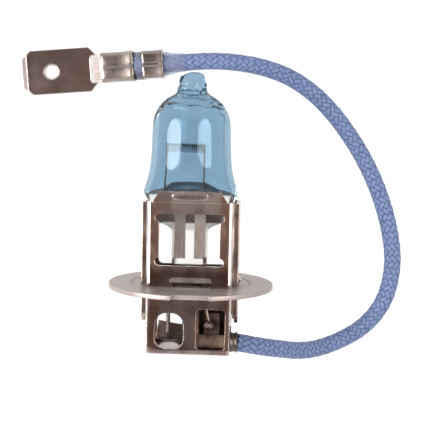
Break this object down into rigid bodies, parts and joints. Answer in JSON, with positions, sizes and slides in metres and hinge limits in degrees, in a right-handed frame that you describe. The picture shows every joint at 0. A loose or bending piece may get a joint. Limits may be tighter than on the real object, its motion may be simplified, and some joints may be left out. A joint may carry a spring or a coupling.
{
  "type": "headlight bulb",
  "caption": "Halogen headlight bulb: blue coated glass in a folded steel cage with a round prefocus flange, and a braided flying lead that ends in a flat blade terminal.",
  "frame": {"origin": "point on the lamp axis in the prefocus flange's seating face, the face towards the glass", "axes": "+Y along the lamp axis towards the glass tip, +X to the side where the lead leaves the cage, +Z out of the cage's front panel"},
  "size_m": [0.0553, 0.0433, 0.0219],
  "materials": {
    "blue_glass": "blue coated quartz glass",
    "tungsten": "drawn tungsten",
    "lead_wire": "drawn wire",
    "foil": "rolled foil",
    "plated_steel": "bright nickel plated sheet steel",
    "flange_steel": "matte blanked steel",
    "dark_steel": "dull sheet steel",
    "tinned_brass": "tinned brass",
    "brown_liner": "moulded brown insulator",
    "amber_sleeve": "varnished glass-fibre sleeve",
    "copper": "bare stranded copper",
    "ferrule_steel": "plated steel",
    "core_plastic": "extruded insulation",
    "blue_braid": "woven braid",
    "clear_shrink": "clear heat-shrink plastic",
    "blade_steel": "tin plated sheet"
  },
  "bodies": {
    "root": {"glass_envelope": "blue_glass", "filament_coil": "tungsten", "lead_in_left": "lead_wire", "lead_in_right": "lead_wire", "foil_left": "foil", "foil_right": "foil", "outer_lead_left": "lead_wire", "outer_lead_right": "lead_wire", "cage_front": "plated_steel", "cage_back": "plated_steel", "prefocus_flange": "flange_steel", "ground_tab": "dark_steel", "live_terminal": "tinned_brass", "insulating_liner": "brown_liner", "insulating_sleeve": "amber_sleeve", "strands_base": "copper", "cable_ferrule": "ferrule_steel", "lead_insulation": "core_plastic", "lead_braid": "blue_braid", "clear_sleeve": "clear_shrink", "strands_end": "copper", "blade_terminal": "blade_steel"}
  },
  "joints": []
}
